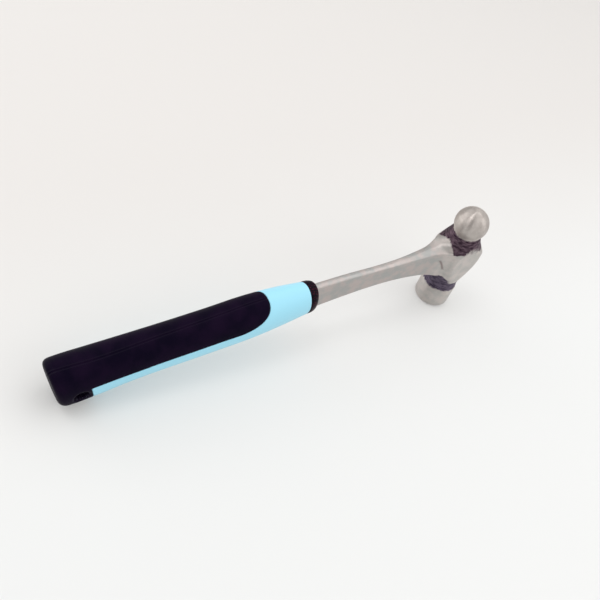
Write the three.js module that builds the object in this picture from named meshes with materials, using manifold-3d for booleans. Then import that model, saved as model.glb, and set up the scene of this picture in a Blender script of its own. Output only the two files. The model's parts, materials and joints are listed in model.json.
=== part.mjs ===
// Ball peen hammer, 16 oz class: a one-piece steel forging in a two-colour moulded grip.
//
// Units are millimetres. The pieces are modelled in the hammer's own frame: the origin is where the
// grip's axis crosses the head's axis, +X runs along the handle towards the nose of the head, +Z runs
// up the head to the ball, and the hammer is the same on both sides of y = 0.
// The exported group lays that frame down as the hammer rests on a table: on the rim of the striking
// face and on the heel of the grip, with z = 0 at the table.

import * as THREE from 'three';
import { mergeVertices } from 'three/addons/utils/BufferGeometryUtils.js';
import Module from 'manifold-3d';

const wasm = await Module();
wasm.setup();

// ---------------------------------------------------------------------------------------------
// Driving dimensions
// ---------------------------------------------------------------------------------------------

const GAP = 0.3;                 // clearance left between pieces that touch

// Head, heights measured up from the handle axis
const BALL_RADIUS = 13;
const BALL_HEIGHT = 28;
const NECK_TOP = 19.5;           // where the upper neck meets the ball
const BODY_TOP = 5;              // the square body's corners end in a short shoulder above this
const SHOULDER_TOP = 8;
const BODY_MIDDLE = -3;          // height of the body's widest place
const BODY_BOTTOM = -11.5;       // the body's corners start to taper here
const NECK_MIDDLE = -29.5;       // narrowest place of the lower neck
const POLL_SHOULDER = -36;
const FACE_HEIGHT = -56;
const POLL_RADIUS = 13.9;
const FACE_CHAMFER = 0.8;
const CORNER_RADIUS = 19.2;      // the body's corners, from the head axis
const CHEEK_HALF = 14;           // half the distance across the flat cheeks
const CHEEK_CHAMFER = 0.8;

// Handle, measured along X from the head axis
const COLLAR_FRONT = -134.8;
const COLLAR_BACK = -142;
const BUTT_END = -319;
const BUTT_ROUNDING = 4.5;
const BUTT_LEAN = -0.18;         // the end face leans back by this per millimetre of height
const TANG_END = -288;
const TANG_HALF = 2.8;
const TANG_END_HALF_DEPTH = 6;
const TANG_HOLES = [-180, -262];
const TANG_HOLE_RADIUS = 4;
const FLARE_START = -48;         // the shank starts to widen towards the head here
const BEHIND_FLARE = -50;

// Two-colour grip
const COVER_THICKNESS = 2.2;
const PARTING_REAR = 2;          // height of the cover's lower edge at its rear end
const PARTING_FRONT = 3;         // and where the nose starts to rise
const NOSE_FRONT = -174.8;       // front of the cover on the top of the grip
const NOSE_LENGTH = 26;
const NOSE_TOP = 18;
const BELLY_END = -299;          // rear end of the blue belly at the parting height
const BELLY_END_LEAN = 0.2;      // its end leans forward by this per millimetre of depth
const CORE_END = -296.5;         // the blue core under the cover ends here
const HOLE_X = -304.5;           // hanging hole
const HOLE_Z = -4;
const HOLE_RADIUS = 4.75;

// Roundness of the sections: 2 is an ellipse, larger is squarer
const GRIP_ROUNDNESS = 2;
const COLLAR_ROUNDNESS = 2.1;
const SHANK_ROUNDNESS = 9;

// Facets and sections
const ROUND_SIDES = 48;
const BAR_SIDES = 24;
const OVAL_SIDES = 32;
const TANG_SECTIONS = 4;
const SHANK_SECTIONS = 8;
const FLARE_SECTIONS = 12;
const GRIP_SECTIONS = 18;
const CORE_SECTIONS = 14;
const BODY_POINTS = 15;
const NECK_POINTS = 4;
const BALL_POINTS = 6;
const ROUNDING_STEPS = 5;

// Lengths that only have to pass clear through a piece, or stay inside it
const THROUGH = 30;
const PIN_OVERLAP = 3;
const WELD_DISTANCE = 1e-4;
const TINY = 1e-6;

const SLOPE_ROUNDS = 6;          // enough for the resting slope to settle

// ---------------------------------------------------------------------------------------------
// Solids
// ---------------------------------------------------------------------------------------------

/** A closed three.js geometry as a solid that can be joined and cut. */
function solidOf(geometry) {
  const bare = geometry.clone();
  bare.deleteAttribute('normal');
  bare.deleteAttribute('uv');
  const merged = mergeVertices(bare, WELD_DISTANCE);
  const corners = merged.index.array;
  const triangles = [];
  for (let i = 0; i < corners.length; i += 3) {
    const [a, b, c] = [corners[i], corners[i + 1], corners[i + 2]];
    if (a !== b && b !== c && c !== a) triangles.push(a, b, c);
  }
  return new wasm.Manifold(new wasm.Mesh({
    numProp: 3,
    vertProperties: new Float32Array(merged.attributes.position.array),
    triVerts: new Uint32Array(triangles),
  }));
}

/** A solid turned back into a three.js geometry. */
function geometryOf(solid) {
  const mesh = solid.getMesh();
  const geometry = new THREE.BufferGeometry();
  geometry.setAttribute('position', new THREE.BufferAttribute(mesh.vertProperties, 3));
  geometry.setIndex(new THREE.BufferAttribute(mesh.triVerts, 1));
  geometry.computeVertexNormals();
  return geometry;
}

/** A side-view outline (x, z), carried across the hammer by halfWidth to each side. */
function acrossSolid(shape, halfWidth) {
  const geometry = new THREE.ExtrudeGeometry(shape, { depth: 2 * halfWidth, bevelEnabled: false });
  geometry.translate(0, 0, -halfWidth);
  geometry.rotateX(Math.PI / 2);
  return solidOf(geometry);
}

/** A round bar along Y with its axis at (x, z). */
function crossBar(x, z, radius, halfLength) {
  const geometry = new THREE.CylinderGeometry(radius, radius, 2 * halfLength, BAR_SIDES);
  geometry.translate(x, 0, z);
  return solidOf(geometry);
}

/** A smooth curve through hand-set stations, read at any x. */
function stationCurve(stations) {
  const last = stations.length - 1;
  return (x) => {
    let i = 0;
    while (i < last - 1 && x > stations[i + 1].x) i += 1;
    const [before, from, to, after] = [
      stations[Math.max(i - 1, 0)],
      stations[i],
      stations[i + 1],
      stations[Math.min(i + 2, last)],
    ];
    const span = to.x - from.x;
    const t = (x - from.x) / span;
    const read = (key) => {
      const slopeFrom = (to[key] - before[key]) / (to.x - before.x);
      const slopeTo = (after[key] - from[key]) / (after.x - from.x);
      return from[key] * (1 + 2 * t) * (1 - t) ** 2
        + to[key] * (3 - 2 * t) * t ** 2
        + slopeFrom * span * t * (1 - t) ** 2
        - slopeTo * span * (1 - t) * t ** 2;
    };
    return station(x, read('top'), read('bottom'), read('half'), read('foot'), read('lean'));
  };
}

/** A section across the handle at x: its top and bottom, its half width at the top and at the foot,
    and how far it leans along X per millimetre of height. */
function station(x, top, bottom, half, foot = half, lean = 0) {
  return { x, top, bottom, half, foot, lean };
}

/** A solid that blends through oval sections; roundness 2 is an ellipse, larger is squarer. */
function loftSolid(sections, roundness, inset = 0) {
  const steps = sections.length - 1;
  const geometry = new THREE.CylinderGeometry(1, 1, 1, OVAL_SIDES, steps);
  geometry.rotateZ(-Math.PI / 2);
  const position = geometry.attributes.position;
  const squared = (value) => (
    Math.abs(value) < TINY ? 0 : Math.sign(value) * Math.abs(value) ** (2 / roundness)
  );
  for (let i = 0; i < position.count; i += 1) {
    const section = sections[Math.round((position.getX(i) + 0.5) * steps)];
    const across = squared(position.getY(i));
    const up = squared(position.getZ(i));
    const half = THREE.MathUtils.lerp(section.foot, section.half, (up + 1) / 2) - inset;
    const middle = (section.top + section.bottom) / 2;
    const depth = (section.top - section.bottom) / 2 - inset;
    const height = middle + up * depth;
    position.setXYZ(i, section.x + section.lean * height, across * half, height);
  }
  return solidOf(geometry);
}

/** Evenly spaced sections of a curve. */
function sectionsBetween(curve, from, to, count) {
  return Array.from({ length: count + 1 }, (_, i) => curve(THREE.MathUtils.lerp(from, to, i / count)));
}

// ---------------------------------------------------------------------------------------------
// Forging: head, shank and tang
// ---------------------------------------------------------------------------------------------

const shankAt = stationCurve([
  station(TANG_END, TANG_END_HALF_DEPTH, -TANG_END_HALF_DEPTH, TANG_HALF),
  station(-200, 9.5, -9, TANG_HALF),
  station(COLLAR_BACK, 11.7, -11.4, TANG_HALF),
  station(-104, 10.7, -9.6, 2.7),
  station(-82, 9.1, -9.5, 2.7),
  station(-60, 8.2, -10.6, 3.1),
  station(-43, 8.7, -12.3, 4, 3.6),
  station(-33, 9.3, -13.8, 5, 4.2),
  station(-25, 10.2, -15.8, 6.8, 5.2),
  station(-19, 10.9, -18, 9.2, 6.6),
  station(-14, 10.4, -20.5, 11.8, 8.2),
  station(-9, 9, -22.5, 13.2, 9.6),
  station(0, 9, -22.5, 13.2, 9.6),
]);

/** The head turned about its axis: poll, necks and ball, with the body still round. */
function turnedHead() {
  const ballStart = Math.asin((NECK_TOP - BALL_HEIGHT) / BALL_RADIUS);
  const body = new THREE.SplineCurve([
    new THREE.Vector2(POLL_RADIUS, POLL_SHOULDER),
    new THREE.Vector2(12.9, NECK_MIDDLE),
    new THREE.Vector2(15.2, -20.5),
    new THREE.Vector2(17.8, BODY_BOTTOM),
    new THREE.Vector2(CORNER_RADIUS, BODY_MIDDLE),
    new THREE.Vector2(18.6, BODY_TOP),
  ]);
  const upperNeck = new THREE.SplineCurve([
    new THREE.Vector2(15.8, SHOULDER_TOP),
    new THREE.Vector2(13.2, 12.5),
    new THREE.Vector2(11, 17.5),
    new THREE.Vector2(BALL_RADIUS * Math.cos(ballStart), NECK_TOP),
  ]);
  const ball = new THREE.Path();
  ball.absarc(0, BALL_HEIGHT, BALL_RADIUS, ballStart, Math.PI / 2, false);
  const outline = [
    new THREE.Vector2(0, FACE_HEIGHT),
    new THREE.Vector2(POLL_RADIUS - FACE_CHAMFER, FACE_HEIGHT),
    new THREE.Vector2(POLL_RADIUS, FACE_HEIGHT + FACE_CHAMFER),
    ...body.getPoints(BODY_POINTS),
    ...upperNeck.getPoints(NECK_POINTS),
    ...ball.getPoints(BALL_POINTS).slice(1),
  ];
  const geometry = new THREE.LatheGeometry(outline, ROUND_SIDES);
  geometry.rotateX(Math.PI / 2);
  return solidOf(geometry);
}

/** The square prism that gives the body its flat cheeks. */
function cheekPrism() {
  const inner = CHEEK_HALF - CHEEK_CHAMFER;
  const square = new THREE.Shape([
    new THREE.Vector2(CHEEK_HALF, -inner),
    new THREE.Vector2(CHEEK_HALF, inner),
    new THREE.Vector2(inner, CHEEK_HALF),
    new THREE.Vector2(-inner, CHEEK_HALF),
    new THREE.Vector2(-CHEEK_HALF, inner),
    new THREE.Vector2(-CHEEK_HALF, -inner),
    new THREE.Vector2(-inner, -CHEEK_HALF),
    new THREE.Vector2(inner, -CHEEK_HALF),
  ]);
  const depth = BALL_HEIGHT + BALL_RADIUS - FACE_HEIGHT + 2 * THROUGH;
  const geometry = new THREE.ExtrudeGeometry(square, { depth, bevelEnabled: false });
  geometry.translate(0, 0, FACE_HEIGHT - THROUGH);
  return solidOf(geometry);
}

/** The shank and the tang, grown by `extra` on every side. */
function shankSolid(extra = 0) {
  const sections = [
    ...sectionsBetween(shankAt, TANG_END - extra, COLLAR_BACK, TANG_SECTIONS),
    ...sectionsBetween(shankAt, COLLAR_FRONT, BEHIND_FLARE, SHANK_SECTIONS),
    ...sectionsBetween(shankAt, FLARE_START, 0, FLARE_SECTIONS),
  ];
  return loftSolid(sections, SHANK_ROUNDNESS, -extra);
}

function forging() {
  let solid = turnedHead().intersect(cheekPrism()).add(shankSolid());
  for (const x of TANG_HOLES) solid = solid.subtract(crossBar(x, 0, TANG_HOLE_RADIUS, THROUGH));
  return solid;
}

// ---------------------------------------------------------------------------------------------
// Grip
// ---------------------------------------------------------------------------------------------

const gripAt = stationCurve([
  station(BUTT_END, 17, -19, 14, 14, BUTT_LEAN),
  station(-310, 17.3, -20.1, 14.4, 14.4, BUTT_LEAN / 2),
  station(-295, 17, -19.2, 14.2),
  station(-275, 16.9, -17.3, 13.6),
  station(-215, 17.1, -16.5, 13.3),
  station(-185, 18, -15.7, 13.3),
  station(-165, 17.2, -14, 12.3),
  station(COLLAR_BACK, 14.2, -12, 10.2),
]);

/** The whole grip's outer skin, or the same shape set in by `inset`. */
function gripSkin(inset = 0, from = BUTT_END) {
  const sections = [];
  if (from === BUTT_END) {
    for (let step = 0; step < ROUNDING_STEPS; step += 1) {
      const turn = (Math.PI / 2) * (step / ROUNDING_STEPS);
      const shrink = BUTT_ROUNDING * (1 - Math.sin(turn));
      const s = gripAt(BUTT_END + BUTT_ROUNDING * (1 - Math.cos(turn)));
      const half = s.half - shrink;
      sections.push(station(s.x, s.top - shrink, s.bottom + shrink, half, half, s.lean));
    }
    sections.push(...sectionsBetween(gripAt, BUTT_END + BUTT_ROUNDING, COLLAR_BACK, GRIP_SECTIONS));
  } else {
    sections.push(...sectionsBetween(gripAt, from, COLLAR_BACK, CORE_SECTIONS));
  }
  return loftSolid(sections, GRIP_ROUNDNESS, inset);
}

/** Side view of the blue region: front end and belly, with `gap` left to the black cover. */
function blueRegion(gap) {
  const bellyBack = BELLY_END + gap;
  const noseHeight = NOSE_TOP - PARTING_FRONT + gap;
  const outline = new THREE.Shape();
  outline.moveTo(COLLAR_BACK + THROUGH, -THROUGH);
  outline.lineTo(COLLAR_BACK + THROUGH, THROUGH);
  outline.lineTo(NOSE_FRONT + gap, THROUGH);
  outline.lineTo(NOSE_FRONT + gap, NOSE_TOP);
  outline.absellipse(
    NOSE_FRONT - NOSE_LENGTH, NOSE_TOP, NOSE_LENGTH + gap, noseHeight, 0, -Math.PI / 2, true,
  );
  outline.lineTo(bellyBack, PARTING_REAR - gap);
  outline.lineTo(bellyBack + BELLY_END_LEAN * (THROUGH + PARTING_REAR - gap), -THROUGH);
  return acrossSolid(outline, THROUGH);
}

function gripBody() {
  const core = gripSkin(COVER_THICKNESS + GAP, CORE_END);
  let solid = gripSkin().intersect(blueRegion(GAP)).add(core).subtract(shankSolid(GAP));
  for (const x of TANG_HOLES) {
    solid = solid.add(crossBar(x, 0, TANG_HOLE_RADIUS - GAP, TANG_HALF + PIN_OVERLAP));
  }
  return solid;
}

function gripOvermould() {
  const core = gripSkin(COVER_THICKNESS, CORE_END - GAP);
  return gripSkin()
    .subtract(blueRegion(0))
    .subtract(core)
    .subtract(crossBar(HOLE_X, HOLE_Z, HOLE_RADIUS, THROUGH));
}

/** The black ring that closes the front of the grip. */
function frontCollar() {
  const ring = loftSolid([
    station(COLLAR_BACK + GAP, 14.2, -12, 10.2),
    station(-137.7, 13.8, -12, 9.6),
    station(-135.8, 13.3, -11.9, 8.6),
    station(COLLAR_FRONT, 12.9, -11.7, 7.8),
  ], COLLAR_ROUNDNESS);
  return ring.subtract(shankSolid(GAP));
}

// ---------------------------------------------------------------------------------------------
// Assembly
// ---------------------------------------------------------------------------------------------

const steel = new THREE.MeshStandardMaterial({ color: 0xb4aea8, roughness: 0.34, metalness: 1 });
const bluePlastic = new THREE.MeshStandardMaterial({ color: 0x9fe0f2, roughness: 0.38, metalness: 0 });
const blackRubber = new THREE.MeshStandardMaterial({ color: 0x18141c, roughness: 0.72, metalness: 0 });
const blackPlastic = new THREE.MeshStandardMaterial({ color: 0x120d12, roughness: 0.3, metalness: 0 });

function piece(name, solid, material) {
  const mesh = new THREE.Mesh(geometryOf(solid), material);
  mesh.name = name;
  return mesh;
}

const pieces = new THREE.Group();
pieces.add(
  piece('head_and_shank', forging(), steel),
  piece('grip_body', gripBody(), bluePlastic),
  piece('grip_overmould', gripOvermould(), blackRubber),
  piece('front_collar', frontCollar(), blackPlastic),
);

/** The lowest point of a mesh when the hammer is turned by `slope` about Y. */
function lowestPoint(mesh, slope) {
  const position = mesh.geometry.attributes.position;
  const turn = new THREE.Matrix4().makeRotationY(slope);
  const point = new THREE.Vector3();
  let lowest = null;
  for (let i = 0; i < position.count; i += 1) {
    point.fromBufferAttribute(position, i);
    const height = point.clone().applyMatrix4(turn).z;
    if (!lowest || height < lowest.height) lowest = { x: point.x, z: point.z, height };
  }
  return lowest;
}

/** The turn about Y that rests both the face's rim and the heel of the grip on the table. */
function restSlope() {
  const [forged, , cover] = pieces.children;
  let slope = 0;
  for (let round = 0; round < SLOPE_ROUNDS; round += 1) {
    const rim = lowestPoint(forged, slope);
    const heel = lowestPoint(cover, slope);
    slope = Math.atan2(rim.z - heel.z, rim.x - heel.x);
  }
  return slope;
}

pieces.rotation.y = restSlope();
pieces.updateMatrixWorld(true);
const bounds = new THREE.Box3().setFromObject(pieces, true);
pieces.position.set(-(bounds.min.x + bounds.max.x) / 2, 0, -bounds.min.z);

const hammer = new THREE.Group();
hammer.add(pieces);

export default hammer;
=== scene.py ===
"""A ball peen hammer with a two-colour moulded grip, resting on a pale floor.

The four pieces stand for the four CAD nodes. Each is written as a distance function in the hammer's
own frame, in millimetres: the origin is where the grip's axis crosses the head's axis, +X runs along
the handle to the head's nose and +Z runs up the head to the ball. surface_mesh() turns a function
into a fine closed mesh, and the record's striking_face mount says where that frame lies in the row.
"""

import json
import math

import bpy
import numpy as np
from mathutils import Matrix, Vector


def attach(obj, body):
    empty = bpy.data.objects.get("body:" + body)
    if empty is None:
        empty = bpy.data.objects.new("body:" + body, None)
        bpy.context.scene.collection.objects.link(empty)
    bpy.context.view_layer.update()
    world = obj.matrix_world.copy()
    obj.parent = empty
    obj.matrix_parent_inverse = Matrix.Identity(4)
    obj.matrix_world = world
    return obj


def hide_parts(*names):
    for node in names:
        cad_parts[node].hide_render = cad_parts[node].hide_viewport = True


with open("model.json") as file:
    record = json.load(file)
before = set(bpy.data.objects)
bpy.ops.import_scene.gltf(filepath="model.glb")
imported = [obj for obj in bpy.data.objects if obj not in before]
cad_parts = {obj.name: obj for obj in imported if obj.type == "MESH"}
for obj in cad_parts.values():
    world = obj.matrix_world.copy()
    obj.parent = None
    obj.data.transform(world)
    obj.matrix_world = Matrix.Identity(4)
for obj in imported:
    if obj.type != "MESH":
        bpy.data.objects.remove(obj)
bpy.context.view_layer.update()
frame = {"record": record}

MM = 0.001

# ------------------------------------------------------------------------------------------------
# Dimensions, in millimetres: the CAD's, some of them trimmed so that all that shows stays in its box
# ------------------------------------------------------------------------------------------------

BALL_RADIUS = 12.95
BALL_HEIGHT = 28.0
NECK_TOP = 19.5
FACE_HEIGHT = -56.0
FACE_CROWN = 0.25
POLL_RADIUS = 13.9
POLL_TOP = -36.5
FACE_CHAMFER = 0.9
CHEEK_HALF = 14.0
CORNER_ROUNDING = 2.3
CHEEK_ROUNDING = 1.1
SHANK_ROUNDING = 0.9
SHANK_CROWN = 0.8
SHANK_CROWN_RAISED = 0.4    # the share of the crown that stands above the shank's plain top
SHANK_FILLET = 4.0
SADDLE_FILLET = 7.0         # the larger fillet where the shank's top runs up into the neck
SADDLE_HALF = 11.0
SADDLE_START = 4.0
SADDLE_RISE = 5.0
NECK_END = 21.0             # the turned body ends inside the ball, and inside the poll
BODY_END = -45.0
BALL_BLEND = 0.8
POLL_BLEND = 1.0
POLL_TOP_EDGE = 0.8
RIM_BLEND = 0.3
CHAMFER_BLEND = 0.4
SLOPE_STEP = 0.1

COLLAR_FRONT = -134.8
COLLAR_BACK = -142.0
COLLAR_ROUNDNESS = 2.1
COLLAR_ROUNDING = 1.6
GRIP_ROUNDNESS = 2
GRIP_FRONT_EDGE = 0.6
BUTT_END = -318.9
BUTT_LEAN = -0.18
BUTT_ROUNDING = 5.0
TANG_END = -288.0
TANG_HOLES = (-180.0, -262.0)
TANG_HOLE_RADIUS = 4.0
TANG_HOLE_EDGE = 0.2

COVER_THICKNESS = 2.2
CLEARANCE = 0.3
PARTING_GAP = 0.06
PARTING_REAR = 2.0
PARTING_FRONT = 3.0
PARTING_EDGE = 0.5
PARTING_CORNER = 1.5
HIDDEN_EDGE = 0.3
NOSE_FRONT = -174.8
NOSE_LENGTH = 26.0
NOSE_TOP = 18.0
BELLY_END = -299.0
BELLY_END_SLANT = 0.2
CORE_END = -296.5
HOLE_X = -304.5
HOLE_Z = -4.0
HOLE_RADIUS = 4.75
HOLE_LIP = 2.2
MOULD_LINE_WIDTH = 0.4
MOULD_LINE_DEPTH = 0.3
MOULD_LINE_LOWEST = -12.0
FLARE_START = -31.0
FLARE_REACH = 70.0


# ------------------------------------------------------------------------------------------------
# The hammer's frame in the row
# ------------------------------------------------------------------------------------------------


def hammer_frame(record):
    """The matrix that lays the hammer's own frame down as the record's striking face says."""
    face = next(m for m in record["mounts"] if m["name"] == "striking_face")
    up = -Vector(face["axis"]).normalized()
    side = Vector((0, 1, 0))
    along = side.cross(up)
    turn = Matrix((along, side, up)).transposed().to_4x4()
    origin = Vector(face["pos_m"]) - up * FACE_HEIGHT * MM
    return Matrix.Translation(origin) @ turn


HAMMER = hammer_frame(frame["record"])


# ------------------------------------------------------------------------------------------------
# Camera and lamps
# ------------------------------------------------------------------------------------------------


def point_at(obj, location, direction, roll=0.0):
    """Puts a camera, lamp or card at a place, facing along a direction."""
    turn = direction.to_track_quat("-Z", "Y").to_matrix().to_4x4()
    obj.matrix_world = Matrix.Translation(location) @ turn @ Matrix.Rotation(roll, 4, "Z")


def add_camera(target, distance, heading, elevation, roll, lens):
    """A camera that looks at target, heading round from +Y towards +X and elevation above it."""
    heading, elevation, roll = map(math.radians, (heading, elevation, roll))
    level = math.cos(elevation)
    direction = Vector((
        math.sin(heading) * level,
        math.cos(heading) * level,
        -math.sin(elevation),
    ))
    data = bpy.data.cameras.new("camera")
    data.lens = lens
    data.sensor_width = 36
    camera = bpy.data.objects.new("camera", data)
    bpy.context.scene.collection.objects.link(camera)
    point_at(camera, target - direction * distance, direction, roll)
    bpy.context.scene.camera = camera


def add_area_light(name, location, target, size, power, mirrored=True):
    """A rectangular lamp that the camera doesn't see, and that the steel mirrors if mirrored is set."""
    data = bpy.data.lights.new(name, "AREA")
    data.shape = "RECTANGLE"
    data.size, data.size_y = size
    data.energy = power
    light = bpy.data.objects.new(name, data)
    bpy.context.scene.collection.objects.link(light)
    point_at(light, Vector(location), Vector(target) - Vector(location))
    light.visible_camera = False
    light.visible_glossy = mirrored


add_camera(
    target=Vector((0.0069, 0, 0.0400)),
    distance=0.5685,
    heading=52.53,
    elevation=44.48,
    roll=28.25,
    lens=50,
)


# ------------------------------------------------------------------------------------------------
# Distance functions
# ------------------------------------------------------------------------------------------------


def smooth_curve(*points):
    """A function that runs smoothly through (position, value) points."""
    at, value = np.array(points, float).T
    slope = np.gradient(value, at)

    def read(x):
        i = np.clip(np.searchsorted(at, x) - 1, 0, len(at) - 2)
        span = at[i + 1] - at[i]
        t = np.clip((x - at[i]) / span, 0, 1)
        return (
            value[i] * (1 + 2 * t) * (1 - t) ** 2
            + value[i + 1] * (3 - 2 * t) * t**2
            + slope[i] * span * t * (1 - t) ** 2
            - slope[i + 1] * span * (1 - t) * t**2
        )

    return read


def join(a, b, blend):
    """The union of two shapes, with a fillet about as large as blend."""
    share = np.clip(0.5 + (b - a) / (2 * blend), 0, 1)
    return b + (a - b) * share - blend * share * (1 - share)


def overlap(a, b, blend):
    """What two shapes share, with edges rounded by about blend."""
    return -join(-a, -b, blend)


def cut(a, b, blend):
    """Shape a without shape b."""
    return overlap(a, -b, blend)


def oval(y, z, half, top, bottom, roundness):
    """Distance to an oval section; roundness 2 is an ellipse, larger is squarer."""
    depth = (top - bottom) / 2
    across = np.abs(y) / half
    up = np.abs(z - (top + bottom) / 2) / depth
    size = (across**roundness + up**roundness) ** (1 / roundness) + 1e-9
    steepness = size ** (1 - roundness) * np.hypot(
        across ** (roundness - 1) / half, up ** (roundness - 1) / depth
    )
    return (size - 1) / (steepness + 1e-9)


def block(y, z, half, top, bottom, rounding):
    """Distance to a rectangular section with rounded corners."""
    past_side = np.abs(y) - half + rounding
    past_end = np.abs(z - (top + bottom) / 2) - (top - bottom) / 2 + rounding
    outside = np.hypot(np.maximum(past_side, 0), np.maximum(past_end, 0))
    return outside + np.minimum(np.maximum(past_side, past_end), 0) - rounding


# ------------------------------------------------------------------------------------------------
# Shapes of the four pieces
# ------------------------------------------------------------------------------------------------

body_radius = smooth_curve(
    (-44, 13.3), (POLL_TOP, 13.3), (-33, 13.1), (-29.5, 13.2), (-20.5, 15.3), (-11.5, 17.9),
    (-3, 19.4), (2, 19.3), (5, 18.7), (8, 16.4), (12.5, 13.8), (17.5, 11.8), (NECK_TOP, 10.7),
    (24, 7),
)
shank_top = smooth_curve(
    (TANG_END, 6), (-200, 9.5), (COLLAR_BACK, 11.7), (-104, 10.7), (-82, 9.1), (-60, 8.2),
    (-43, 8.7), (-33, 9.3), (-25, 10.2), (-19, 10.9), (-14, 10.4), (-9, 9), (0, 9),
)
shank_bottom = smooth_curve(
    (TANG_END, -6), (-200, -9), (COLLAR_BACK, -11.4), (-104, -9.6), (-82, -9.5), (-60, -10.6),
    (-43, -12.3), (-33, -13.8), (-25, -15.8), (-19, -18), (-14, -20.5), (-9, -22.5), (0, -22.5),
)
shank_half = smooth_curve(
    (TANG_END, 2.8), (-104, 2.7), (-82, 2.7), (-60, 3.1), (-43, 4), (-33, 4.9), (-26, 5.9),
    (-20, 7.0), (-15, 7.8), (-10, 7.6), (-5, 6), (0, 5),
)
flare = smooth_curve(
    (-36, 0), (-33, 0), (-30, 0.25), (-25, 1.15), (-19, 2.4), (-14, 3.5), (-9, 3.5), (0, 2),
)


def along_flare(x, z):
    """How far along its flare the shank's side is: the flare starts nearer the head lower down."""
    depth = np.clip(shank_top(x) - z, 0, FLARE_REACH / 2)
    return x - depth * (1 - depth / FLARE_REACH)


def shank_distance(x, y, z, grown=0.0):
    """The shank and tang."""
    half = shank_half(x) + flare(along_flare(x, z))
    crown = SHANK_CROWN * (np.clip(y / half, -1, 1) ** 2 - SHANK_CROWN_RAISED)
    section = block(y, z, half, shank_top(x) - crown, shank_bottom(x), SHANK_ROUNDING)
    return np.maximum(np.maximum(section, TANG_END - x), x) - grown


def poll_distance(r, z):
    """The poll, r from the head's axis, with its crowned face and chamfered rim."""
    crown = FACE_CROWN * (r / POLL_RADIUS) ** 2
    end = FACE_HEIGHT + crown - z
    side = r - POLL_RADIUS
    chamfer = (side + end + FACE_CHAMFER) / math.sqrt(2)
    rim = overlap(overlap(side, end, RIM_BLEND), chamfer, CHAMFER_BLEND)
    return overlap(rim, z - POLL_TOP, POLL_TOP_EDGE)


def head_distance(x, y, z):
    """The ball, the necks, the squared body and the poll."""
    r = np.hypot(x, y)
    slope = (body_radius(z + SLOPE_STEP) - body_radius(z - SLOPE_STEP)) / (2 * SLOPE_STEP)
    turned = (r - body_radius(z)) / np.hypot(1, slope)
    turned = np.maximum(turned, np.maximum(z - NECK_END, BODY_END - z))
    cheeks = overlap(np.abs(x) - CHEEK_HALF, np.abs(y) - CHEEK_HALF, CORNER_ROUNDING)
    body = overlap(turned, cheeks, CHEEK_ROUNDING)
    ball = np.hypot(r, z - BALL_HEIGHT) - BALL_RADIUS
    return join(join(body, ball, BALL_BLEND), poll_distance(r, z), POLL_BLEND)


def forging_distance(x, y, z):
    """The head and shank in one, with the tang's two keying holes."""
    across = np.clip(1 - (y / SADDLE_HALF) ** 2, 0, 1)
    saddle = across * np.clip((z - SADDLE_START) / SADDLE_RISE, 0, 1)
    fillet = SHANK_FILLET + (SADDLE_FILLET - SHANK_FILLET) * saddle
    solid = join(head_distance(x, y, z), shank_distance(x, y, z), fillet)
    solid = np.maximum(solid, np.abs(y) - CHEEK_HALF)
    for hole_x in TANG_HOLES:
        solid = cut(solid, np.hypot(x - hole_x, z) - TANG_HOLE_RADIUS, TANG_HOLE_EDGE)
    return solid


UPPER_SCALE_LOWEST = 8.9
UPPER_SCALE_PAST_NECK = 0.3
UPPER_SCALE_BACK = 14.2
UPPER_SCALE_BULGE = 0.014
UPPER_SCALE_MIDDLE = 3
UPPER_SCALE_HALF = 13.6
LOWER_SCALE_TOP = -17.5
LOWER_SCALE_HALF = 12.6
LOWER_SCALE_NARROWS_ABOVE = -22.4
LOWER_SCALE_NARROWING = 0.69
LOWER_SCALE_WIDENS_BELOW = -26.5
# The band of painted shade along the line where the shank's side turns into its flare.
CREASE_TOP = 3
CREASE_LOWEST = -11
CREASE_FADE = 3
CREASE_STEEPNESS = 0.6


def scale_and_crease_shade_marks(x, y, z):
    """Where forging scale is left, in millimetres inside its edge: the two necks, which no
    grinding reaches. The ground shank, cheeks, ball and poll cut into it. It also gives the band of
    painted shade along the line where the shank's side turns into its flare."""
    upper = np.minimum(z - UPPER_SCALE_LOWEST, NECK_TOP - z + UPPER_SCALE_PAST_NECK)
    bulge = UPPER_SCALE_BULGE * (y - UPPER_SCALE_MIDDLE) ** 2
    upper = np.minimum(upper, x + UPPER_SCALE_BACK + bulge)
    upper = np.minimum(upper, UPPER_SCALE_HALF - np.abs(y))
    narrowed = LOWER_SCALE_NARROWING * np.maximum(z - LOWER_SCALE_NARROWS_ABOVE, 0)
    side = LOWER_SCALE_HALF - narrowed + np.maximum(LOWER_SCALE_WIDENS_BELOW - z, 0)
    lower = np.minimum(LOWER_SCALE_TOP - z, z - POLL_TOP)
    lower = np.minimum(lower, side - np.abs(y))
    crease_shade = 1 - CREASE_STEEPNESS * np.abs(along_flare(x, z) - FLARE_START)
    crease_shade = np.minimum(crease_shade, np.minimum(CREASE_TOP - z, z - CREASE_LOWEST) / CREASE_FADE)
    return {"scale": np.maximum(upper, lower), "crease_shade": crease_shade}


grip_top = smooth_curve(
    (BUTT_END, 17), (-310, 17.3), (-295, 17), (-275, 16.9), (-215, 17.1), (-185, 18),
    (-165, 17.2), (COLLAR_BACK, 14.6), (-130, 13.1),
)
grip_bottom = smooth_curve(
    (BUTT_END, -18.8), (-310, -19.85), (-295, -19.1), (-275, -17.3), (-215, -16.5), (-185, -15.7),
    (-165, -14), (COLLAR_BACK, -11.6), (-130, -10.6),
)
grip_half = smooth_curve(
    (BUTT_END, 13.9), (-310, 14.3), (-295, 14.15), (-275, 13.6), (-215, 13.3), (-185, 13.3),
    (-165, 12.3), (COLLAR_BACK, 10.2), (-130, 8.9),
)
mould_line = smooth_curve(
    (-322, -2.6), (-297, -3.6), (-252, -2.4), (-206, -1.4), (NOSE_FRONT, -0.8),
)


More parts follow.
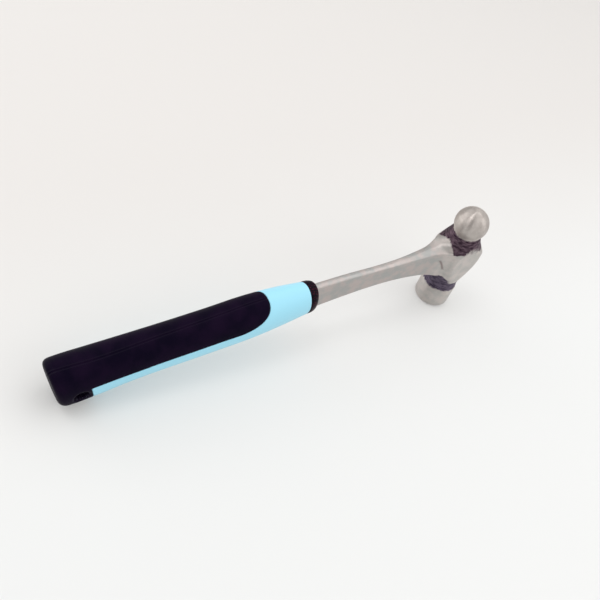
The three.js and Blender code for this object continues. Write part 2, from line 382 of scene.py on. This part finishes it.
def grip_distance(x, y, z):
    """The whole grip's skin, with its leaning, rounded butt."""
    skin = oval(y, z, grip_half(x), grip_top(x), grip_bottom(x), GRIP_ROUNDNESS)
    butt = (BUTT_END + BUTT_LEAN * z - x) / math.hypot(1, BUTT_LEAN)
    front = x - COLLAR_BACK
    return overlap(overlap(skin, butt, BUTT_ROUNDING), front, GRIP_FRONT_EDGE)


def cover_region(x, z):
    """Side view of the black cover: negative above the parting line, and behind the belly."""
    along = (x - BELLY_END) / (NOSE_FRONT - NOSE_LENGTH - BELLY_END)
    parting = PARTING_REAR + (PARTING_FRONT - PARTING_REAR) * np.clip(along, 0, 1)
    ahead = np.maximum(x - NOSE_FRONT + NOSE_LENGTH, 0)
    below = np.minimum(z - NOSE_TOP + PARTING_FRONT - parting, 0)
    rise = NOSE_TOP - PARTING_FRONT
    size = np.hypot(ahead / NOSE_LENGTH, below / rise) + 1e-9
    steepness = np.hypot(ahead / NOSE_LENGTH**2, below / rise**2) / size + 1e-9
    upper = (size - 1) / steepness
    rear = x - BELLY_END + BELLY_END_SLANT * (z - PARTING_REAR)
    return join(upper, rear, PARTING_CORNER)


def core_distance(x, y, z, inset):
    """The blue body's core, inside the cover."""
    skin = oval(y, z, grip_half(x), grip_top(x), grip_bottom(x), GRIP_ROUNDNESS) + inset
    return np.maximum(np.maximum(skin, CORE_END - x), x - COLLAR_BACK)


def body_distance(x, y, z):
    """The blue body: what shows of it, and its core, round the tang."""
    shown = overlap(grip_distance(x, y, z), PARTING_GAP - cover_region(x, z), PARTING_EDGE)
    solid = np.minimum(shown, core_distance(x, y, z, COVER_THICKNESS + CLEARANCE))
    return cut(solid, shank_distance(x, y, z, CLEARANCE / 2), HIDDEN_EDGE)


def cover_distance(x, y, z):
    """The black cover, hollow for the core, with its mould line and hanging hole."""
    groove = MOULD_LINE_DEPTH * np.exp(-(((y - mould_line(x)) / MOULD_LINE_WIDTH) ** 2))
    skin = grip_distance(x, y, z) + np.where(z > MOULD_LINE_LOWEST, groove, 0)
    shown = overlap(skin, cover_region(x, z) + PARTING_GAP, PARTING_EDGE)
    hollow = cut(shown, core_distance(x + CLEARANCE, y, z, COVER_THICKNESS), HIDDEN_EDGE)
    hole = np.hypot(x - HOLE_X, z - HOLE_Z) - HOLE_RADIUS
    return cut(hollow, hole, HOLE_LIP)


collar_top = smooth_curve((-142, 14.6), (-137.7, 14.4), (-135.8, 14.0), (-134, 13.4))
collar_bottom = smooth_curve((-142, -11.6), (-137.7, -11.6), (-135.8, -11.6), (-134, -11.4))
collar_half = smooth_curve((-142, 10.2), (-137.7, 9.7), (-135.8, 8.9), (-134, 7.8))


def collar_distance(x, y, z):
    """The black ring round the shank at the grip's front end."""
    side = oval(y, z, collar_half(x), collar_top(x), collar_bottom(x), COLLAR_ROUNDNESS)
    ends = np.maximum(COLLAR_BACK + PARTING_GAP - x, x - COLLAR_FRONT)
    ring = overlap(side, ends, COLLAR_ROUNDING)
    return cut(ring, shank_distance(x, y, z, CLEARANCE / 2), HIDDEN_EDGE)


# ------------------------------------------------------------------------------------------------
# Meshing
# ------------------------------------------------------------------------------------------------


def spaced(*spans):
    """Grid lines through (start, stop, step) spans that follow on from each other."""
    lines = [np.arange(start, stop, step) for start, stop, step in spans]
    return np.concatenate([*lines, [spans[-1][1]]])


def gradient(distance, points, reach=0.02):
    """The slope of a distance function at each point."""
    parts = []
    for axis in range(3):
        shift = np.zeros(3)
        shift[axis] = reach
        ahead = distance(*(points + shift).T)
        behind = distance(*(points - shift).T)
        parts.append((ahead - behind) / (2 * reach))
    return np.stack(parts, 1)


LARGEST_STEP = 0.5
FLATTEST_SLOPE = 0.25


def settle(distance, points, rounds):
    """Moves points straight onto the surface."""
    for _ in range(rounds):
        slope = gradient(distance, points)
        steepness = np.maximum((slope**2).sum(1), FLATTEST_SLOPE)
        move = slope * (distance(*points.T) / steepness)[:, None]
        points = points - np.clip(move, -LARGEST_STEP, LARGEST_STEP)
    return points


def surface_net(distance, lines):
    """Points and quads round the cells of a grid that the surface passes through."""
    inside = distance(*np.meshgrid(*lines, indexing="ij")) < 0
    shape = [n - 1 for n in inside.shape]
    corners = sum(
        inside[a : a + shape[0], b : b + shape[1], c : c + shape[2]].astype(np.int8)
        for a in (0, 1)
        for b in (0, 1)
        for c in (0, 1)
    )
    crossed = (corners > 0) & (corners < 8)
    number = np.full(shape, -1)
    number[crossed] = np.arange(crossed.sum())
    middles = [(line[1:] + line[:-1]) / 2 for line in lines]
    points = np.stack([m[i] for m, i in zip(middles, np.nonzero(crossed))], 1)
    quads = []
    for axis in range(3):
        first = np.take(inside, range(shape[axis]), axis)
        second = np.take(inside, range(1, shape[axis] + 1), axis)
        edge = np.stack(np.nonzero(first != second), 1)
        step_b, step_c = np.roll(np.eye(3, dtype=int), axis, 1)[1:]
        ring = [edge, edge - step_b, edge - step_b - step_c, edge - step_c]
        quad = np.stack([number[tuple(cell.T)] for cell in ring], 1)
        backwards = second[tuple(edge.T)]
        quad[backwards] = quad[backwards, ::-1]
        quads.append(quad)
    return points, np.concatenate(quads)


def even_out(points, quads):
    """Each point moved to the middle of its neighbours."""
    starts = quads.ravel()
    ends = np.roll(quads, 1, axis=1).ravel()
    total = np.zeros_like(points)
    for axis in range(3):
        total[:, axis] = np.bincount(starts, points[ends, axis], len(points))
        total[:, axis] += np.bincount(ends, points[starts, axis], len(points))
    count = np.bincount(starts, minlength=len(points)) + np.bincount(ends, minlength=len(points))
    return total / count[:, None]


def sharpness(distance, points, reach=0.8):
    """How sharply the surface bends at each point: above 0 on outer edges, below 0 in creases."""
    total = -6 * distance(*points.T)
    for axis in range(3):
        shift = np.zeros(3)
        shift[axis] = reach
        total += distance(*(points + shift).T) + distance(*(points - shift).T)
    return total / reach**2


def surface_mesh(name, distance, lines, marks=None):
    """A fine closed mesh of a distance function, laid down in the row's frame."""
    points, quads = surface_net(distance, lines)
    points = settle(distance, points, rounds=4)
    points = settle(distance, even_out(points, quads), rounds=3)
    normals = gradient(distance, points)
    normals /= np.linalg.norm(normals, axis=1)[:, None]
    turn = np.array(HAMMER.to_3x3())
    mesh = bpy.data.meshes.new(name)
    mesh.from_pydata(points * MM @ turn.T + np.array(HAMMER.translation), [], quads)
    mesh.polygons.foreach_set("use_smooth", [True] * len(quads))
    mesh.update()
    mesh.normals_split_custom_set_from_vertices(normals @ turn.T)
    values = {"sharpness": sharpness(distance, points)}
    if marks is not None:
        values.update(marks(*points.T))
    for key, value in values.items():
        mesh.attributes.new(key, "FLOAT", "POINT").data.foreach_set("value", value)
    return mesh


def add_piece(name, node, distance, lines, material, marks=None):
    """One piece of the hammer in place of its CAD node."""
    mesh = surface_mesh(name, distance, lines, marks)
    mesh.materials.append(material)
    piece = bpy.data.objects.new(name, mesh)
    bpy.context.scene.collection.objects.link(piece)
    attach(piece, "root")
    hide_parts(node)


# ------------------------------------------------------------------------------------------------
# Materials
# ------------------------------------------------------------------------------------------------


class Shader:
    """A material's node tree, built one node at a time."""

    def __init__(self, name):
        self.material = bpy.data.materials.new(name)
        self.material.use_nodes = True
        self.tree = self.material.node_tree
        self.tree.nodes.clear()

    def add(self, kind, inputs=None, output=0, **settings):
        """Adds a node, sets or links its inputs, and gives back one of its outputs."""
        node = self.tree.nodes.new("ShaderNode" + kind)
        for key, value in settings.items():
            setattr(node, key, value)
        for key, value in (inputs or {}).items():
            if isinstance(value, bpy.types.NodeSocket):
                self.tree.links.new(value, node.inputs[key])
            else:
                node.inputs[key].default_value = value
        return node.outputs[output]

    def position(self):
        """The place in the hammer's own frame, in millimetres."""
        place = self.add("TexCoord", output="Object")
        back = HAMMER.inverted()
        return self.add("Mapping", {
            "Vector": place,
            "Location": back.translation / MM,
            "Rotation": back.to_euler(),
            "Scale": (1 / MM, 1 / MM, 1 / MM),
        })

    def mark(self, name):
        """A number that the mesh carries at each point."""
        return self.add("Attribute", output="Fac", attribute_name=name)

    def stretched(self, place, scale):
        return self.add("VectorMath", {0: place, 1: scale}, operation="MULTIPLY")

    def noise(self, place, scale, detail=3.0, roughness=0.55):
        inputs = {"Vector": place, "Scale": scale, "Detail": detail, "Roughness": roughness}
        return self.add("TexNoise", inputs)

    def math(self, operation, a, b):
        return self.add("Math", {0: a, 1: b}, operation=operation)

    def ramp(self, value, low, high, start=0.0, end=1.0):
        """A smooth step from start to end as value goes from low to high."""
        inputs = {"Value": value, 1: low, 2: high, 3: start, 4: end}
        return self.add("MapRange", inputs, interpolation_type="SMOOTHSTEP")

    def mix(self, share, a, b):
        inputs = {0: share, 6: a, 7: b}
        return self.add("Mix", inputs, output=2, data_type="RGBA")

    def bump(self, height, distance, strength):
        inputs = {"Height": height, "Distance": distance * MM, "Strength": strength}
        return self.add("Bump", inputs)

    def finish(self, inputs):
        """Ends the tree with one surface, and gives back the material."""
        surface = self.add("BsdfPrincipled", inputs)
        output = self.tree.nodes.new("ShaderNodeOutputMaterial")
        self.tree.links.new(surface, output.inputs["Surface"])
        return self.material


GRAIN_TURNS = (-30, -18)      # the shank's long grain gives way to the head's turned rings here
SCALE_RAGGEDNESS = 3.0
NEAR_SCALE = 7.0
NEAR_SCALE_ROUGHER = 0.14
SCALE_TONE_TURNS = (-10, 0)
BALL_TONE_FADE = 1
TANGENT_LEAN = 0.05


def steel_material():
    """Ground steel, with forging scale where the marks say, and painted shade along the line where the
    shank's side turns into its flare. Ball, head and shank differ a little in tone, and the steel is
    rougher next to the scale."""
    s = Shader("forged_steel")
    place = s.position()
    x = s.add("SeparateXYZ", {0: place}, output="X")
    z = s.add("SeparateXYZ", {0: place}, output="Z")
    ragged = s.math("MULTIPLY", s.math("SUBTRACT", s.noise(place, 0.45, 4), 0.5), SCALE_RAGGEDNESS)
    scale = s.ramp(s.math("ADD", s.mark("scale"), ragged), -0.5, 0.5)
    on_shank = s.ramp(x, *GRAIN_TURNS, 1.0, 0.0)
    rings = s.noise(s.stretched(place, (0.12, 0.12, 2.4)), 1.0, 4)
    lines = s.noise(s.stretched(place, (0.10, 2.4, 2.4)), 1.0, 4)
    grain = s.add("Mix", {0: on_shank, 2: rings, 3: lines}, output=0, data_type="FLOAT")
    cloud = s.ramp(s.noise(place, 0.16, 5), 0.35, 0.65)
    head_tone = s.mix(cloud, (0.55, 0.505, 0.48, 1), (0.46, 0.445, 0.425, 1))
    shank_tone = s.mix(cloud, (0.475, 0.42, 0.40, 1), (0.385, 0.385, 0.375, 1))
    ball_tone = s.mix(cloud, (0.49, 0.45, 0.42, 1), (0.41, 0.37, 0.345, 1))
    bright = s.mix(on_shank, head_tone, shank_tone)
    bright = s.mix(s.ramp(z, NECK_TOP - BALL_TONE_FADE, NECK_TOP + BALL_TONE_FADE), bright, ball_tone)
    # Painted shade: the steel is darkened along the line where the shank's side turns into its flare.
    crease_shade_share = s.ramp(s.mark("crease_shade"), 0.0, 1.0, 0.0, 0.65)
    ground = s.mix(crease_shade_share, bright, (0.12, 0.07, 0.07, 1))
    streaks = s.noise(s.stretched(place, (0.25, 0.25, 0.9)), 1.0, 5)
    patches = s.ramp(streaks, 0.3, 0.75)
    upper_dark = s.mix(patches, (0.028, 0.014, 0.026, 1), (0.19, 0.13, 0.16, 1))
    lower_dark = s.mix(patches, (0.045, 0.034, 0.058, 1), (0.20, 0.165, 0.225, 1))
    dark = s.mix(s.ramp(z, *SCALE_TONE_TURNS), lower_dark, upper_dark)
    colour = s.mix(scale, ground, dark)
    near_scale = s.ramp(s.mark("scale"), -NEAR_SCALE, 0.0, 0.0, NEAR_SCALE_ROUGHER)
    rough = s.math("ADD", near_scale, s.ramp(grain, 0.3, 0.7, 0.31, 0.42))
    # The steel's stretched highlights follow the head's axis, leaned a little sideways.
    head_axis = HAMMER.to_3x3() @ Vector((0, TANGENT_LEAN, 1))
    return s.finish({
        "Base Color": colour,
        "Metallic": 1.0,
        "Roughness": rough,
        "Anisotropic": 0.95,
        "Tangent": s.add("CombineXYZ", dict(enumerate(head_axis))),
        "Normal": s.bump(grain, 0.02, 0.6),
    })


# Where the painted highlights on the hanging hole's lip start to fade out.
LIP_GLINT_FADE_START = 0.6


def rubber_material():
    """Soft black rubber, with a painted highlight on its outer edges and pale specks painted as
    highlights on the hole's lip.
    """
    s = Shader("black_rubber")
    place = s.position()
    pebble = s.noise(place, 2.5, 2)
    wear = s.ramp(s.noise(place, 0.08, 5), 0.3, 0.7)
    black = s.mix(wear, (0.0016, 0.0003, 0.0065, 1), (0.0065, 0.0022, 0.0120, 1))
    # Painted highlight: the outer edges are painted paler, as if they catch the light.
    edges = s.ramp(s.mark("sharpness"), 0.2, 0.7, 0.0, 0.4)
    black_with_painted_edge_highlight = s.mix(edges, black, (0.016, 0.013, 0.022, 1))
    # Painted highlights: pale specks on the hanging hole's lip, where it catches the light.
    from_hole = s.add("VectorMath", {0: place, 1: (HOLE_X, 0, HOLE_Z)}, operation="SUBTRACT")
    flat = s.stretched(from_hole, (1, 0, 1))
    reach = s.add("VectorMath", {0: flat}, output="Value", operation="LENGTH")
    lip_glint_area = s.ramp(reach, HOLE_RADIUS + LIP_GLINT_FADE_START, HOLE_RADIUS + HOLE_LIP, 1.0, 0.0)
    specks = s.ramp(s.noise(place, 2.2, 2), 0.62, 0.7)
    colour = s.mix(s.math("MULTIPLY", lip_glint_area, specks), black_with_painted_edge_highlight, (0.16, 0.17, 0.21, 1))
    rough = s.ramp(wear, 0.0, 1.0, 0.55, 0.68)
    return s.finish({
        "Base Color": colour,
        "Roughness": rough,
        "Specular IOR Level": 0.035,
        "Sheen Weight": 0.05,
        "Sheen Roughness": 0.3,
        "Normal": s.bump(pebble, 0.06, 0.5),
    })


def blue_material():
    """Smooth sky-blue plastic, a little cloudy."""
    s = Shader("blue_plastic")
    place = s.position()
    cloud = s.noise(place, 0.06, 3)
    colour = s.mix(cloud, (0.305, 0.64, 0.785, 1), (0.33, 0.668, 0.81, 1))
    rough = s.ramp(cloud, 0.3, 0.7, 0.34, 0.42)
    return s.finish({
        "Base Color": colour,
        "Roughness": rough,
        "Specular IOR Level": 0.3,
        "Normal": s.bump(s.noise(place, 1.2, 3), 0.03, 0.3),
    })


def collar_material():
    """Black plastic with reddish specks."""
    s = Shader("black_plastic")
    place = s.position()
    specks = s.noise(place, 1.1, 3)
    colour = s.mix(s.ramp(specks, 0.56, 0.66), (0.002, 0.0005, 0.004, 1), (0.08, 0.012, 0.025, 1))
    return s.finish({
        "Base Color": colour,
        "Roughness": s.ramp(specks, 0.3, 0.7, 0.28, 0.42),
        "Specular IOR Level": 0.06,
        "Normal": s.bump(specks, 0.08, 0.5),
    })


# ------------------------------------------------------------------------------------------------
# The pieces
# ------------------------------------------------------------------------------------------------

FINE = 0.45
MEDIUM = 0.6
LOOSE = 0.9
COARSE = 2.5
GROOVE = 0.2      # across the mould line

add_piece(
    "forging", "head_and_shank", forging_distance,
    (
        spaced((TANG_END - 1, -146, COARSE), (-146, -58, LOOSE), (-58, 15, FINE)),
        spaced((-15, 15, FINE)),
        spaced((-57, 42, FINE)),
    ),
    steel_material(),
    scale_and_crease_shade_marks,
)
grip_lines = (
    spaced((-324, -146, MEDIUM), (-146, -141, FINE)),
    spaced((-15, -5, MEDIUM), (-5, 1, GROOVE), (1, 15, MEDIUM)),
    spaced((-21, 19, FINE)),
)
add_piece("grip_cover", "grip_overmould", cover_distance, grip_lines, rubber_material())
shell_lines = (
    spaced((-300, -180, LOOSE), (-180, -146, MEDIUM), (-146, -141, FINE)),
    spaced((-15, 15, MEDIUM)),
    spaced((-20, 19, MEDIUM)),
)
add_piece("grip_shell", "grip_body", body_distance, shell_lines, blue_material())
add_piece(
    "collar", "front_collar", collar_distance,
    (spaced((-143, -134, 0.3)), spaced((-11, 11, 0.4)), spaced((-13, 15, 0.4))),
    collar_material(),
)

# ------------------------------------------------------------------------------------------------
# Floor, cards and light
# ------------------------------------------------------------------------------------------------


def floor_material():
    """A pale floor, with a painted falloff of light: its colour is lighter and cooler near the camera
    and darker and warmer far off. It gives off some light of its own, which keeps the shadows on it
    pale."""
    s = Shader("floor")
    place = s.position()
    y = s.add("SeparateXYZ", {0: place}, output="Y")
    cloud = s.math("MULTIPLY", s.noise(place, 0.004, 2), 60.0)
    # Painted light falloff: the floor's colour darkens and warms with distance from the camera.
    far = s.ramp(s.math("ADD", y, cloud), -70.0, 230.0)
    colour = s.mix(far, (0.55, 0.556, 0.552, 1), (0.505, 0.486, 0.47, 1))
    return s.finish({
        "Base Color": colour,
        "Roughness": 0.8,
        "Specular IOR Level": 0.1,
        "Emission Color": (0.98, 0.975, 0.96, 1),
        "Emission Strength": 0.21,
    })


def add_floor(half):
    mesh = bpy.data.meshes.new("floor")
    corners = [(-half, -half, 0), (half, -half, 0), (half, half, 0), (-half, half, 0)]
    mesh.from_pydata(corners, [], [(0, 1, 2, 3)])
    mesh.materials.append(floor_material())
    floor = bpy.data.objects.new("floor", mesh)
    bpy.context.scene.collection.objects.link(floor)


def add_flag(name, location, target, size, grey):
    """A plain card outside the picture: the camera doesn't see it, but the steel reflects it."""
    mesh = bpy.data.meshes.new(name)
    half_x, half_y = size[0] / 2, size[1] / 2
    corners = [(-half_x, -half_y, 0), (half_x, -half_y, 0), (half_x, half_y, 0), (-half_x, half_y, 0)]
    mesh.from_pydata(corners, [], [(0, 1, 2, 3)])
    s = Shader(name)
    mesh.materials.append(s.finish({"Base Color": (grey, grey, grey, 1), "Roughness": 0.9}))
    flag = bpy.data.objects.new(name, mesh)
    bpy.context.scene.collection.objects.link(flag)
    point_at(flag, Vector(location), Vector(target) - Vector(location))
    flag.visible_camera = False


def add_world(colour, strength):
    world = bpy.data.worlds.new("studio")
    world.use_nodes = True
    background = world.node_tree.nodes["Background"]
    background.inputs["Color"].default_value = (*colour, 1)
    background.inputs["Strength"].default_value = strength
    bpy.context.scene.world = world


add_floor(half=12.0)
add_world(colour=(1, 0.995, 0.99), strength=1.035)
add_area_light("overhead", (0.75, 0.1, 1.8), target=(0, 0, 0), size=(1.6, 1.6), power=5.4)
add_area_light("high_left", (-0.80, 0.3, 1.75), target=(0, 0, 0), size=(0.6, 0.6), power=5.0)
add_area_light(
    "front", (0.10, -0.60, 0.55), target=(0.02, -0.10, 0), size=(0.6, 0.3), power=0.35, mirrored=False,
)
add_area_light("left", (-0.9, 1.2, 0.5), target=(0, 0, 0), size=(1.4, 0.9), power=4.6)
add_area_light("right", (1.0, -0.8, 0.9), target=(0, 0, 0), size=(0.8, 0.8), power=1.4)
add_flag("near_flag", (-0.50, -0.34, 0.52), target=(0.12, 0, 0.05), size=(0.28, 0.42), grey=0.02)
add_flag("far_flag", (0.80, 1.00, 0.40), target=(0, 0, 0.05), size=(1.2, 0.55), grey=0.5)
bpy.context.scene.view_settings.view_transform = "Standard"
